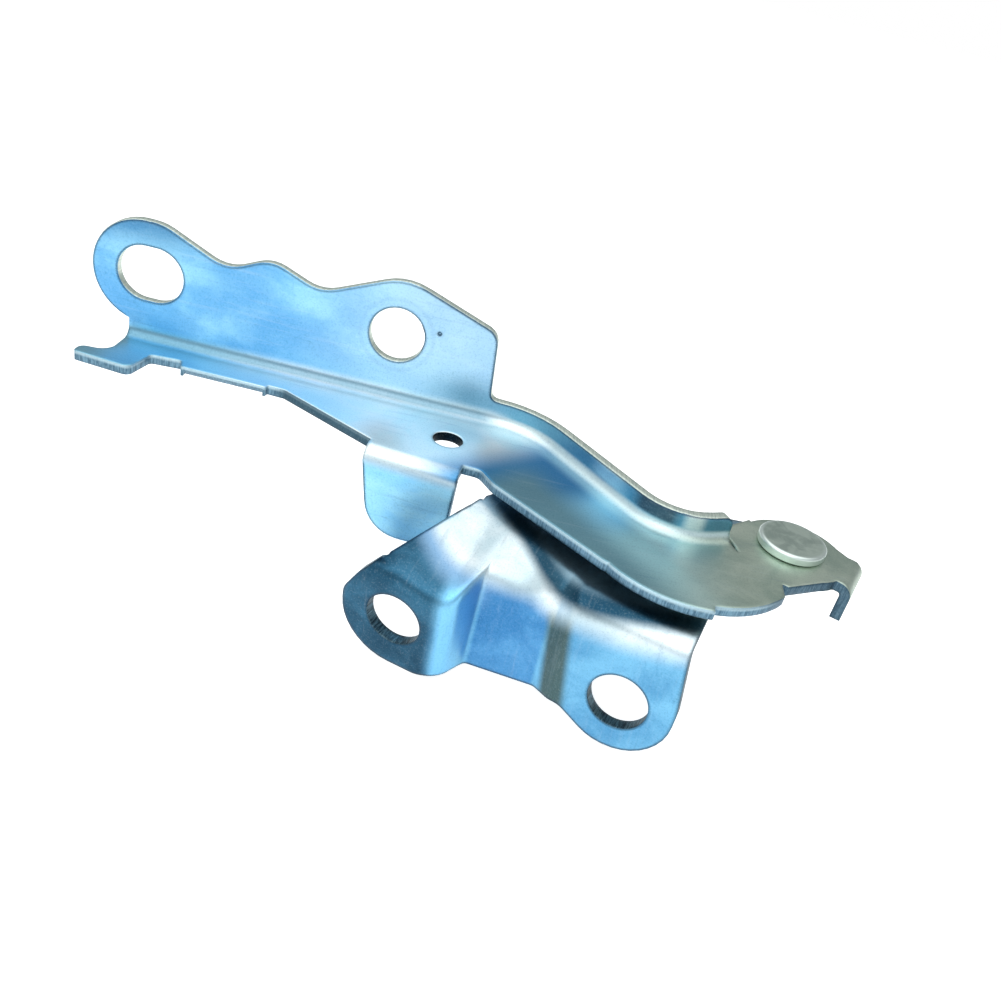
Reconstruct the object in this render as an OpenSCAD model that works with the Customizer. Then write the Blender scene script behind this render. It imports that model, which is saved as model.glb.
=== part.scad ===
// Bonnet hinge: a pressed bonnet arm that swings on a shouldered rivet in a pressed body bracket.
// All sizes in millimetres. The origin lies on the right body bolt hole, on the face that seats on the body.

/* [Sheet] */
// Sheet thickness of the bonnet arm
arm_t = 2.3; // [1.6:0.1:3.2]
// Sheet thickness of the body bracket
bracket_t = 2.9; // [2.0:0.1:3.6]
// Inside radius of the long fold of the arm
fold_r = 2.5; // [1.5:0.1:4]

/* [Pivot] */
// Angle of the arm to the bracket as pictured
rest_turn = 18; // [12:1:22]
// Diameter of the rivet head
head_d = 15.2; // [13:0.1:17]
// Height of the rivet head
head_h = 2.3; // [1.6:0.1:3]
// Edge radius of the rivet head
head_edge_r = 0.7; // [0.3:0.1:1]
// Diameter of the rivet shoulder that the bush turns on
shoulder_d = 10; // [8:0.1:11]
// Diameter of the rivet neck in the bracket
neck_d = 8; // [6:0.1:9]
// Diameter of the closed end of the rivet
tail_d = 13.5; // [11:0.1:15]
// Height of the closed end of the rivet
tail_h = 2.6; // [1.8:0.1:3.4]
// Wall of the bush
bush_wall = 1; // [0.6:0.1:1.6]
// Flange diameter of the bush
bush_flange_d = 18; // [15:0.1:21]
// Flange thickness of the bush, between arm and bracket
bush_flange_t = 0.8; // [0.6:0.1:1.5]
// Radial running clearance between bush and shoulder
run_clear = 0.04; // [0.02:0.01:0.1]
// Clearance of the bush flange to the bracket and of the head to the arm
end_clear = 0.06; // [0.03:0.01:0.12]

/* [Bonnet arm] */
// Distance of the flange face from the pivot
flange_y = 24.7; // [20:0.1:28]
// Left end of the fold, measured from the pivot
fold_left = 160; // [150:1:172]
// Height of the bolt holes above the web
bonnet_hole_z = 16.2; // [14:0.1:19]
// Pivot to the round bonnet bolt hole
bonnet_hole_x = 96.4; // [90:0.1:102]
// Pivot to the middle of the slot
bonnet_slot_x = 155.1; // [148:0.1:160]
// Diameter of the round hole and width of the slot
bonnet_hole_d = 13; // [9:0.1:14]
// Length of the slot
bonnet_slot_len = 15.6; // [13.5:0.1:18]
// Rim round the slot
slot_rim = 6; // [4:0.1:8]
// Crest of the flange over the round hole
crest_rim = 6.6; // [4.5:0.1:9]
// Right end of the tall flange, measured from the pivot
tall_right = 72; // [68:0.5:76]
// Height of the low flange above the web
low_h = 5.7; // [4.5:0.1:8]
// Radius of the first turn of the low flange
turn1_r = 21.3; // [18:0.1:28]
// Angle of the first turn
turn1_a = 47; // [40:1:52]
// Straight run between the turns
turn_run = 27.9; // [22:0.1:32]
// Radius of the second turn
turn2_r = 14; // [11:0.5:18]
// Angle of the second turn
turn2_a = 74; // [60:1:85]
// Straight end of the low flange
low_end = 4.5; // [3:0.1:6]
// Radius of the belly of the web
belly_r = 24.2; // [22:0.1:27]
// Radius of the web end round the rivet
end_r = 11.9; // [10:0.1:13]
// Diameter of the locating hole in the web
locate_d = 7; // [5:0.1:8]
// Width of the folded tab
tab_w = 21.4; // [16:0.1:24]
// Depth of the tab under the web face
tab_h = 20.8; // [15:0.1:26]
// Outside radius of the folds of tab and hook
tab_fold_r = 3; // [2.6:0.1:4.5]
// Distance of the hook face from the pivot
hook_reach = 15.8; // [15:0.1:19]
// Depth of the hook under the web face
hook_h = 8.6; // [7:0.1:12]

/* [Body bracket] */
// Depth of the web face under the face of the arm
web_drop = 5.7; // [4.5:0.1:9]
// Distance of the right seat from the pivot
seat_y = 41.2; // [36:0.1:46]
// How far the left seat stands out past the right seat
seat_step = 5.3; // [2:0.1:9]
// How far the panel between the seats is set back from the right seat
panel_back = 2.7; // [1:0.1:5]
// Lean of the left seat
seat_lean = 6.4; // [0:0.1:10]
// Pivot to the right body bolt hole
body_hole_x = 19.7; // [17:0.1:24]
// Depth of the right body bolt hole under the face of the arm
body_hole_z = 26.1; // [23:0.1:30]
// Left body bolt hole from the right one
body_hole_gap = 49.8; // [46:0.1:54]
// How much lower the left body bolt hole is
body_hole_drop = 1.3; // [0:0.1:4]
// Diameter of the body bolt holes
body_hole_d = 13; // [9:0.1:14]
// Rim round the right body bolt hole
right_rim = 5.4; // [4:0.1:7]
// Rim round the left body bolt hole
left_rim = 6.1; // [4.5:0.1:8]
// Outside radius of the bend over the right seat
bend_r = 5.2; // [4.6:0.1:7]
// Height of the slope behind the left seat
bend_left = 9; // [7:0.1:11]
// Depth of the slope behind the left seat
bend_depth = 25; // [18:0.5:25.5]
// Right edge of the bracket, measured from the pivot
right_edge = 9.6; // [8:0.1:13]
// Left edge of the web, measured from the pivot
left_edge = 64.2; // [60:0.1:68]
// Radius of the ear round the rivet
ear_r = 13; // [11:0.1:13.1]

/* [Hidden] */
$fn = 64;
lap = 4;
bite = 1.2;
big = 200;
steel = [0.62, 0.72, 0.8];
dark_steel = [0.45, 0.6, 0.72];
bronze = [0.62, 0.48, 0.3];

// Heights, from the top face of the arm's web down.
ear_top = -arm_t - bush_flange_t - end_clear;
ear_low = ear_top - bracket_t;
web_top = -web_drop;
bush_d = shoulder_d + 2 * run_clear + 2 * bush_wall;

// Places on the bracket.
left_hole_x = -body_hole_x - body_hole_gap;
left_hole_z = -body_hole_z - body_hole_drop;
left_y = -seat_y - seat_step;
right_y = -seat_y;
panel_y = -seat_y + panel_back;
right_lobe = body_hole_d / 2 + right_rim;
left_lobe = body_hole_d / 2 + left_rim;
datum = [-body_hole_x, -seat_y, -body_hole_z];

// Along the bracket: end of the left seat, crease, end of the panel and start of the right seat.
left_end = -body_hole_x - 0.753 * body_hole_gap;
crease_x = left_end + 3;
panel_end = -body_hole_x - 0.367 * body_hole_gap;
right_start = panel_end + 4.6;
grow_x = panel_end - 1.6;
slope_x = panel_end - 6;

// The bend is cut across its corner: steeply at the right, and more and more as a slope towards the left.
bend_corner = 0.586 * bend_r;
bend_soft = 4.2;
slope_left = bend_left / bend_depth;
slope_mid = 0.5;

// The plan of the low flange: a straight run, a turn, a run, a turn back and a short end.
turn1_x = -tall_right + 2.2;
turn1_mid = [turn1_x, flange_y - turn1_r];
turn1_end = turn1_mid + turn1_r * [sin(turn1_a), cos(turn1_a)];
turn2_start = turn1_end + turn_run * [cos(turn1_a), -sin(turn1_a)];
turn2_mid = turn2_start + turn2_r * [sin(turn1_a), cos(turn1_a)];
end_a = turn2_a - turn1_a;
turn2_end = turn2_mid + turn2_r * [sin(end_a), -cos(end_a)];
low_tip = turn2_end + low_end * [cos(end_a), sin(end_a)];

function unit(v) = v / norm(v);
function flat(p) = [p[0], p[1]];
function mix(a, b, k) = a + (b - a) * k;
function ease(k) = k <= 0 ? 0 : k >= 1 ? 1 : k * k * (3 - 2 * k);

// Points of one rounded corner, b = [x, y, radius], between its neighbours a and c.
function corner(a, b, c) =
    let(p = flat(b), u = unit(flat(a) - p), w = unit(flat(c) - p), r = b[2])
    r <= 0 || norm(u + w) < 0.001 ? [p] :
    let(
        half = acos(max(-1, min(1, u * w))) / 2,
        o = p + unit(u + w) * r / sin(half),
        s = p + u * r / tan(half) - o,
        e = p + w * r / tan(half) - o,
        sweep = (180 - 2 * half) * sign(s[0] * e[1] - s[1] * e[0]),
        n = max(2, ceil(abs(sweep) / 10)),
        a0 = atan2(s[1], s[0])
    )
    [for (k = [0:n]) o + r * [cos(a0 + sweep * k / n), sin(a0 + sweep * k / n)]];

// A closed outline with rounded corners.
function rounded(p) =
    let(n = len(p))
    [for (i = [0:n - 1]) each corner(p[(i + n - 1) % n], p[i], p[(i + 1) % n])];

// An open path with rounded corners.
function rounded_path(p) =
    let(n = len(p))
    [for (i = [0:n - 1]) each (i == 0 || i == n - 1 ? [flat(p[i])] : corner(p[i - 1], p[i], p[i + 1]))];

// A path with its long runs cut into steps.
function stepped(p, d) =
    [for (i = [0:len(p) - 2])
        let(n = max(1, ceil(norm(p[i + 1] - p[i]) / d)))
        for (k = [0:n - 1]) mix(p[i], p[i + 1], k / n),
     p[len(p) - 1]];

// A closed sheet between two grids of points, the face and the back.
module sheet(face, back) {
    n = len(face);
    m = len(face[0]);
    o = n * m;
    points = [for (s = face) each s, for (s = back) each s];
    faces = [
        for (i = [0:n - 2]) for (j = [0:m - 2])
            let(a = i * m + j, b = a + m)
            each [[a, b + 1, b], [a, a + 1, b + 1], [o + a, o + b, o + b + 1], [o + a, o + b + 1, o + a + 1]],
        for (i = [0:n - 2])
            let(a = i * m, b = a + m, c = a + m - 1, d = b + m - 1)
            each [[a, b, o + b], [a, o + b, o + a], [c, o + d, d], [c, o + c, o + d]],
        for (j = [0:m - 2])
            let(a = j, b = (n - 1) * m + j)
            each [[a, o + a + 1, a + 1], [a, o + a, o + a + 1], [b, b + 1, o + b + 1], [b, o + b + 1, o + b]]
    ];
    polyhedron(points, faces, convexity = 10);
}

// Stations of the low flange as [x, y, heading], from left to right.
fold_path = [
    [-fold_left, flange_y, 0],
    for (k = [0:6]) let(a = turn1_a * k / 6)
        [turn1_mid[0] + turn1_r * sin(a), turn1_mid[1] + turn1_r * cos(a), -a],
    for (k = [0:9]) let(a = turn2_a * k / 9 - turn1_a)
        [turn2_mid[0] + turn2_r * sin(a), turn2_mid[1] - turn2_r * cos(a), a],
    [low_tip[0], low_tip[1], end_a]
];

// A point at a station: d in front of the flange face.
function at_station(s, d) = [s[0] + d * sin(s[2]), s[1] - d * cos(s[2])];
function lifted(p, z) = [p[0], p[1], z];

// One skin of the fold at a station: along a strip of the web, round the fold and up the low flange.
function fold_skin(s, r, top, low) = [
    lifted(at_station(s, fold_r + lap), low),
    for (k = [0:8]) lifted(at_station(s, fold_r - r * sin(90 * k / 8)), fold_r - r * cos(90 * k / 8)),
    lifted(at_station(s, fold_r - r), top)
];

module low_flange() {
    difference() {
        sheet(
            [for (s = fold_path) fold_skin(s, fold_r, low_h, 0)],
            [for (s = fold_path) fold_skin(s, fold_r + arm_t, low_h, -arm_t)]
        );
        translate([low_tip[0], low_tip[1], low_h]) rotate([90, 0, end_a]) translate([-2.2, -2.2, -arm_t - 1])
            linear_extrude(arm_t + 2) difference() {
                square(3);
                circle(2.2);
            }
    }
}

// The tall flange, drawn as seen from the front with z upwards. It stands on the low one.
slot_half = (bonnet_slot_len - bonnet_hole_d) / 2;
module tall_flange() {
    lobe = bonnet_hole_d / 2 + slot_rim;
    lobe_x = -bonnet_slot_x - slot_half;
    top = bonnet_hole_z + lobe - 0.04;
    crest = bonnet_hole_z + bonnet_hole_d / 2 + crest_rim + 0.9;
    dip = bonnet_hole_z + 5.7;
    outline = [
        [lobe_x, 0, 0],
        [lobe_x, top, 0],
        [-bonnet_slot_x + 2.6, top, 11],
        [-bonnet_slot_x + 17.7, dip, 9],
        [-bonnet_hole_x - 30.9, dip + 4.7, 8],
        [-bonnet_hole_x - 18.9, dip, 9],
        [-bonnet_hole_x, crest, 13],
        [-tall_right - 1.3, bonnet_hole_z + 5.9, 4],
        [-tall_right, low_h, 2],
        [turn1_x, low_h, 0],
        [turn1_x, 0, 0]
    ];
    translate([0, flange_y, 0]) rotate([90, 0, 0]) mirror([0, 0, 1]) linear_extrude(arm_t) difference() {
        union() {
            polygon(rounded(outline));
            translate([lobe_x, bonnet_hole_z]) circle(lobe);
        }
        translate([-fold_left + bite, low_h - bite - big]) square([big, big]);
    }
}

// The flat web: its back edge is the front edge of the strip along the fold.
module arm_web() {
    along = [cos(end_a), sin(end_a)];
    across = [sin(end_a), -cos(end_a)];
    slit = low_tip + 0.7 * along + 2.4 * across;
    slit_end = low_tip + 1.2 * along - 4.4 * across;
    n = len(fold_path);
    outline = [
        [-fold_left, 14.3, 3.6],
        [-fold_left - 6.4, 13.7, 1.8],
        [-fold_left - 6.4, 10.1, 1],
        [-fold_left + 7.2, 8.5, 1.7],
        [-fold_left + 8.7, 17, 1.3],
        [-fold_left + 15.8, 17.8, 0.7],
        [-fold_left + 16.8, 14.8, 0.5],
        [-fold_left + 37, trim_front, 0.3],
        [-fold_left + 37.2, 15.9, 0.3],
        [-fold_left + 41.2, 15.7, 0.6],
        [tab_x + 0.4, tab_y + 0.9, 0],
        [tab_x + tab_w - 2, tab_y - 0.5, 0],
        [tab_x + tab_w + 3.9, tab_y - 0.7, 2.4],
        [-66.6, -3.7, 5],
        [-40.6, -23.9, 3],
        [-30, -20, 0],
        [-3.6, -16, 0],
        [-2.6, -16.4, 0],
        hook_point(hook_flat - 0.8, hook_front + 0.2),
        hook_point(hook_flat - 0.8, hook_back - 0.2),
        [9.5, 6.6, 3],
        [0, 0, 0],
        [-8.4, 8, 0],
        [slit_end[0], slit_end[1], 0.8],
        [slit[0], slit[1], 0],
        for (i = [1:n]) let(p = at_station(fold_path[n - i], fold_r + lap - bite)) [p[0], p[1], 0]
    ];
    translate([0, 0, -arm_t]) linear_extrude(arm_t) union() {
        polygon(rounded(outline));
        translate([0.7, -0.6]) circle(end_r);
        belly();
    }
}

// The belly of the web, with the small step in its cut edge.
belly_x = -22.5;
belly_y = -7.5;
module belly() {
    translate([belly_x, belly_y]) {
        intersection() {
            circle(belly_r);
            polygon([[-18.1, -16.4], [-18.1, -30], [3.4, -30], [3.4, -10], [0, 0]]);
        }
        intersection() {
            circle(belly_r - 1.7);
            polygon([[3.3, -30], [18.6, -30], [18.6, -10.9], [18.6, 0], [0, 0], [3.3, -10]]);
        }
    }
}

// A flap folded down: the flat that it grows from, the bend and the leg, with its width along -y.
module folded_down(width, leg) {
    inner = tab_fold_r - arm_t;
    rotate([90, 0, 0]) linear_extrude(width) {
        translate([-lap, -arm_t]) square([lap, arm_t]);
        translate([0, -tab_fold_r]) intersection() {
            difference() {
                circle(tab_fold_r);
                circle(inner);
            }
            square(tab_fold_r);
        }
        translate([inner, -leg]) square([arm_t, leg - tab_fold_r]);
    }
}

// The tab that is folded down at the front, a little out of line with the long fold.
tab_x = -95.3;
tab_y = 1.6;
tab_turn = 6.4;
tab_root = 0.4;
module tab() {
    translate([tab_x, tab_y, 0]) rotate([0, 0, -tab_turn]) {
        translate([tab_w, 0, 0]) rotate([0, 0, -90]) folded_down(tab_w, tab_fold_r + tab_root);
        translate([0, -tab_fold_r + arm_t, 0]) rotate([90, 0, 0]) linear_extrude(arm_t)
            polygon(rounded([
                [0, -tab_fold_r, 0],
                [0, -tab_fold_r - tab_root, 0],
                [0.15 * tab_w, -tab_h, 0.397 * tab_w],
                [tab_w - 0.2, -tab_h, 0.439 * tab_w],
                [tab_w, -tab_fold_r - tab_root, 0],
                [tab_w, -tab_fold_r, 0]
            ]));
    }
}

// The hook that is folded down past the rivet and stops the arm when the bonnet is open.
hook_a = -24;
hook_front = -5;
hook_back = 7.1;
hook_flat = hook_reach - tab_fold_r;
function hook_point(a, b) = [a * cos(hook_a) - b * sin(hook_a), a * sin(hook_a) + b * cos(hook_a), 0];
module hook() {
    rotate([0, 0, hook_a]) translate([hook_flat, hook_back, 0]) folded_down(hook_back - hook_front, hook_h);
}

// The bevelled trim along the front edge of the web.
trim_start = 17.4;
trim_front = 14.6;
trim_run = 19;
trim_face = 0.4;
trim_back = 1.7;
module edge_trim() {
    translate([-fold_left + trim_start, trim_front, 0]) rotate([90, 0, 90]) linear_extrude(trim_run)
        polygon([[-1, -trim_face], [0.1, -trim_face], [trim_back, -arm_t - 0.1], [-1, -arm_t - 0.1]]);
}

// The locating hole in the web and the centre mark on the flange.
locate_x = -79;
locate_y = 11.1;
pip_x = -86.7;
pip_z = 19;
module bonnet_arm() {
    color(steel) place() rotate([0, 0, rest_turn]) difference() {
        union() {
            arm_web();
            low_flange();
            tall_flange();
            tab();
            hook();
        }
        edge_trim();
        translate([0, 0, -arm_t - 1]) cylinder(d = bush_d, h = arm_t + 2);
        translate([locate_x, locate_y, -arm_t - 1]) cylinder(d = locate_d, h = arm_t + 2);
        translate([pip_x, flange_y - 0.01, pip_z]) rotate([-90, 0, 0])
            cylinder(d1 = 1.1, d2 = 0.3, h = 0.36);
        translate([-bonnet_hole_x, flange_y - 1, bonnet_hole_z]) rotate([-90, 0, 0])
            cylinder(d = bonnet_hole_d, h = arm_t + 2);
        translate([-bonnet_slot_x, flange_y - 1, bonnet_hole_z]) rotate([-90, 0, 0])
            linear_extrude(arm_t + 2) {
                translate([-slot_half, 0]) circle(d = bonnet_hole_d);
                translate([slot_half, 0]) circle(d = bonnet_hole_d);
                translate([-slot_half, -bonnet_hole_d / 2]) square([2 * slot_half, bonnet_hole_d]);
            }
    }
}

// The pressed sheet of the bracket is a loft along the plan of its seats: each section runs up the seat,
// over the bend and back along the web, and the bend grows deeper and higher towards the left.
seat_plan = stepped(rounded_path([
    [left_hole_x - left_lobe - 4, left_y, 0],
    [left_end, left_y, 4.2],
    [crease_x, panel_y, 1.2],
    [panel_end, panel_y, 2.6],
    [right_start, right_y, 4.2],
    [-right_edge + 6, right_y, 0]
]), 3.2);
bend_steps = 6;
joggle_y = -19;
joggle_run = 6;

function wall_line(x) = mix(panel_y, right_y, ease((x - panel_end) / (right_start - panel_end)));
function web_line(x) = min(joggle_y - 2, wall_line(x) + bend_corner + max(0, grow_x - x)
    * (left_y + bend_depth - panel_y - bend_corner) / (left_edge + grow_x));
function bend_slope(x) = 1 - (1 - slope_mid) * ease((slope_x - x) / 9.5)
    - (slope_mid - slope_left) * ease((left_end - 1.3 - x) / 12);
function lean_at(p, z) = p[0] > panel_end ? 0 :
    tan(seat_lean) * (left_hole_z - z) * max(0, (panel_y - p[1]) / (panel_y - left_y));

// A soft corner at b between a and c.
function soft_corner(a, b, c) =
    [for (i = [0:bend_steps]) let(k = i / bend_steps) mix(mix(a, b, k), mix(b, c, k), k)];

function seat_section(p) =
    let(
        low = left_hole_z - left_lobe - 4,
        c = [web_line(p[0]), web_top],
        rise = web_top - bend_slope(p[0]) * (c[0] - p[1]),
        b = [p[1] + lean_at(p, rise), rise],
        foot = [p[1] + lean_at(p, low), low],
        up = unit(c - b),
        t = min(bend_soft, 0.47 * norm(c - b)),
        s = min(t, joggle_y - c[0] - 0.3),
        line = [
            foot,
            mix(foot, b, 0.5),
            each soft_corner(b + t * unit(foot - b), b, b + t * up),
            each soft_corner(c - s * up, c, c + [s, 0]),
            [joggle_y, web_top],
            for (k = [1:3]) [joggle_y + joggle_run * k / 4, mix(web_top, ear_top, ease(k / 4))],
            [joggle_y + joggle_run, ear_top],
            [ear_r + 6, ear_top]
        ]
    )
    [for (q = line) [p[0], q[0], q[1]]];

module pressed_sheet() {
    face = [for (p = seat_plan) seat_section(p)];
    n = len(face);
    m = len(face[0]);
    back = [for (i = [0:n - 1]) [for (j = [0:m - 1])
        let(
            along = face[min(i + 1, n - 1)][j] - face[max(i - 1, 0)][j],
            up = face[i][min(j + 1, m - 1)] - face[i][max(j - 1, 0)]
        )
        face[i][j] - bracket_t * unit(cross(along, up))]];
    sheet(face, back);
}

// Outline of the seats and the bend as seen from the front, with z upwards.
module seat_outline() {
    left = left_hole_x - left_lobe;
    low_left = left_hole_z - left_lobe;
    low_right = -body_hole_z - right_lobe;
    polygon(rounded([
        [left + 7.9, 4, 0],
        [left + 7.9, left_hole_z + 13.6, 0],
        [left + 6.6, left_hole_z + 12.9, 0],
        [left + 3.2, left_hole_z + 8.6, 6],
        [left, left_hole_z + 2.9, 5],
        [left, low_left, left_lobe],
        [left + 19.6, low_left, 6],
        [crease_x - 0.8, low_left + 3.2, 3.5],
        [right_start + 1.8, low_right + 4.8, 5],
        [-body_hole_x - 3.4, low_right, right_lobe - 1],
        [-body_hole_x + right_lobe, low_right, right_lobe],
        [-body_hole_x + right_lobe, -body_hole_z + 3, 8],
        [-right_edge, web_top - 3.5, 4],
        [-right_edge, 4, 0]
    ]));
}

// What is trimmed off the slope at the left, in plan.
module side_trim() {
    left = left_hole_x - left_lobe;
    back = left_y + bracket_t - 0.6;
    right = -left_edge + 0.7;
    polygon([
        [right, 0],
        [right, joggle_y],
        [right - 4, joggle_y - 8.6],
        [left + 7.6, back],
        [left - 5, back],
        [left - 5, 0]
    ]);
}

// Plan of the web behind the bend, with the ear that holds the rivet.
module web_outline() {
    polygon(rounded([
        [-left_edge, joggle_y - 6, 0],
        [-right_edge, joggle_y - 6, 0],
        [-right_edge, -ear_r - 1, 3],
        [-1, -ear_r + 0.1, 0],
        [0, 0, 0],
        [-ear_r * sin(21), ear_r * cos(21), 0],
        [-left_edge, -ear_r, 5]
    ]));
    circle(ear_r);
}

module body_bracket() {
    color(dark_steel) place() difference() {
        intersection() {
            pressed_sheet();
            union() {
                translate([0, joggle_y - 3, 0]) rotate([90, 0, 0]) linear_extrude(seat_y) seat_outline();
                translate([0, 0, -seat_y]) linear_extrude(seat_y) web_outline();
            }
        }
        translate([0, 0, web_top - 12]) linear_extrude(20) side_trim();
        translate([0, 0, ear_low - 1]) cylinder(d = neck_d, h = bracket_t + 2);
        translate([-body_hole_x, right_y - 5, -body_hole_z]) rotate([-90, 0, 0])
            cylinder(d = body_hole_d, h = bracket_t + 10);
        translate([left_hole_x, left_y, left_hole_z]) rotate([seat_lean - 90, 0, 0]) translate([0, 0, -5])
            cylinder(d = body_hole_d, h = bracket_t + 10);
    }
}

// The rivet is one revolved piece: head, shoulder in the bush, neck in the bracket and closed end.
module pivot_rivet() {
    r = head_d / 2;
    e = head_edge_r;
    top = end_clear + head_h;
    low = ear_low - tail_h;
    color(steel) place() rotate_extrude() {
        polygon([
            [0, low],
            [tail_d / 2 - 1.2, low],
            [tail_d / 2, low + 1.2],
            [tail_d / 2, ear_low],
            [neck_d / 2, ear_low],
            [neck_d / 2, ear_top],
            [shoulder_d / 2, ear_top],
            [shoulder_d / 2, end_clear],
            [r - e, end_clear],
            [r - e, top],
            [0, top]
        ]);
        translate([r - 2 * e, end_clear + e]) square([2 * e, head_h - 2 * e]);
        translate([r - e, end_clear + e]) circle(e);
        translate([r - e, top - e]) circle(e);
    }
}

// Flanged bush, pressed into the arm from below.
module pivot_bush() {
    bore = shoulder_d / 2 + run_clear;
    color(bronze) place() rotate_extrude() polygon([
        [bore, -arm_t - bush_flange_t],
        [bush_flange_d / 2, -arm_t - bush_flange_t],
        [bush_flange_d / 2, -arm_t],
        [bush_d / 2, -arm_t],
        [bush_d / 2, 0],
        [bore, 0]
    ]);
}

module place() {
    translate(-datum) children();
}

bonnet_arm();
body_bracket();
pivot_rivet();
pivot_bush();
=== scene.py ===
import math

import bpy
from mathutils import Euler, Matrix, Vector


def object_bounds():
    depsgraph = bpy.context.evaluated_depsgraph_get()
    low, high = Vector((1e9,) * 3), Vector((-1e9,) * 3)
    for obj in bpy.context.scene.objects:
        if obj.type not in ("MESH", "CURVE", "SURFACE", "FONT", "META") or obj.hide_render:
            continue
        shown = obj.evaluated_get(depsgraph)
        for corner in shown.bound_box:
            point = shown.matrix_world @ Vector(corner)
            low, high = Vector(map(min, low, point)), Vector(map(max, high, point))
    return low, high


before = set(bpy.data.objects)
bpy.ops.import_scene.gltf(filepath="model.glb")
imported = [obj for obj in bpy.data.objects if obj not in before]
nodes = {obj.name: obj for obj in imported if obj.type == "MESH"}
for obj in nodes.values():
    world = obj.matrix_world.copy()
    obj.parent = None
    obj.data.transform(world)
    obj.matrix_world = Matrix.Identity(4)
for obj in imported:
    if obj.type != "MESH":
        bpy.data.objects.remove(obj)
cad_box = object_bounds()

MM = 0.001
PIVOT = Vector((19.7, 41.2, 26.1)) * MM
REST_TURN = math.radians(18)
ARM_SHEET = 2.3 * MM
BRACKET_SHEET = 2.9 * MM

# A face is a sheared edge where the metal behind it is thicker than this many sheets.
THICK_METAL = 1.32
RAY_LIFT = 0.02 * MM
RAY_REACH = 0.3
WELD_GAP = 0.02 * MM
FLAT_ANGLE = math.radians(0.6)
SHARP_EDGE = math.radians(34)
BRACKET_SHARP_EDGE = math.radians(62)
RIM_EDGE = math.radians(50)
ARM_RIM = 0.45 * MM
RIM_SEGMENTS = 3
# How much room a rounded rim takes and how far it may move a point, in rim widths.
RIM_ROOM = 5
RIM_REACH = 2
CROWD_POWER = 4.0
CROWD_BLUR = 2
# Places where the arm's outline is too crowded to round its rims, as centre and radius.
RIM_CLEAR = [
    (Vector((5.4, 34.0, 31.7)) * MM, 9 * MM),
    (Vector((-71.3, 12.4, 21.3)) * MM, 6 * MM),
]

# The plating. Noise here and below is scale, detail, roughness and any distortion, in metres.
GRAIN = (2400.0, 2.0, 0.7)
DARK_GRAIN = (0.5, 0.3)
DARK_GRAIN_TINT = (0.5, 0.58, 0.62, 1)
DARK_GRAIN_SHARE = 0.34
PALE_GRAIN = (0.52, 0.72)
PALE_GRAIN_TINT = (226, 244, 250, 0.06)
BUMP_DEPTH = 0.1 * MM
BUMP_STRENGTH = 0.3
GRAIN_HEIGHT = 0.4
STREAK_HEIGHT = 0.4
STRIPE_HEIGHT = 0.5
STRIPE_STRETCH = 0.1
CUT_ROUGHER = 0.05
STREAK_ROUGH = (-0.03, 0.05)
# A painted shade line along a rim, where the rounded normal turns away from the flat one.
LINE_RADIUS = 1.2 * MM
LINE_SAMPLES = 8
LINE_TURN = (0.996, 0.95)
LINE_TINT = (52, 78, 98)

# The arm.
ARM_PATCHES = (62.0, 5.0, 0.62, 0.5)
ARM_PATCH_STRETCH = (1, 1, 1.5)
ARM_CLOUDS = (24.0, 2.0, 0.5)
ARM_STREAKS = (1.0, 5.0, 0.65)
ARM_STREAK_STRETCH = (40, 500, 700)
ARM_STRIPES = (2600.0, 3.0, 0.7)
ARM_ROUGH = (0.42, 0.34)
# Strength of the painted shade line along the arm's rims.
ARM_LINE = 0.9
# Directions along and across the slanting part of the arm's S.
S_RUN = (0.682, -0.731, 0)
S_ACROSS = (0.731, 0.682, 0)
BOLT_HOLE = (-96.4, 24.7, 16.2)
LOCATING_HOLE = (-79.0, 11.1, 0)
# The span of the noise that parts the two tints of a patchy surface, and those tints.
ARM_MOTTLE = {
    "flange": ((0.36, 0.64), (118, 188, 236), (158, 220, 252)),
    # The upward web is painted near-white: a painted reflection of bright light from above.
    "web": ((0.34, 0.68), (232, 250, 252), (250, 254, 254)),
    "tab": ((0.34, 0.68), (140, 210, 250), (168, 228, 254)),
    "end": ((0.35, 0.65), (168, 186, 172), (204, 216, 200)),
    "edge": ((0.36, 0.64), (78, 110, 130), (122, 158, 178)),
    # The top edges are painted lighter: a painted highlight where they face up.
    "top_edge": ((0.32, 0.68), (196, 210, 200), (230, 238, 226)),
}
# Screen colours, with the share that covers the tint below where it isn't all of it. Several are painted
# reflections, highlights and shade, standing for what the plating mirrors in the photograph.
ARM_TINT = {
    "clouds": (98, 170, 224, 0.7),
    "slot_end": (84, 142, 184),
    "pale": (186, 222, 244),
    "corner": (96, 150, 178, 0.8),
    "web_left": (150, 206, 226),
    # deep, light, cyan, outer and beside are painted reflections in bands across the web's S.
    "deep": (34, 134, 190),
    "light": (142, 214, 246),
    "cyan": (178, 236, 246),
    "outer": (98, 150, 166, 0.9),
    "beside": (196, 230, 236, 0.65),
    # Painted shade in the straight part of the concave fold.
    "straight_fold": (108, 152, 174, 0.85),
    # Painted shade, darker at the tab's foot, and a painted highlight on the tab's bend.
    "tab_foot": (96, 168, 222),
    "tab_bend": (182, 204, 216),
    # The low flange of the S is painted in bands: painted reflections, dark and bright.
    "low": (108, 164, 190),
    "low_pale": (206, 240, 250),
    "low_dark": (76, 94, 106),
    "low_bright": (236, 250, 252),
    # A painted highlight in the curved part of the fold.
    "curved_fold": (222, 238, 238, 0.8),
    "pale_streak": (226, 242, 250, 0.13),
    "dark_streak": (70, 120, 162, 0.2),
    "coined": (70, 120, 165, 0.1),
    "slant": (50, 78, 92, 0.85),
    # A painted highlight along the upper rim of the edges by the end.
    "gleam": (196, 224, 234),
    "hook": (60, 80, 92, 0.6),
    # Painted shade inside the locating hole.
    "locating": (22, 34, 42),
}
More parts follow.
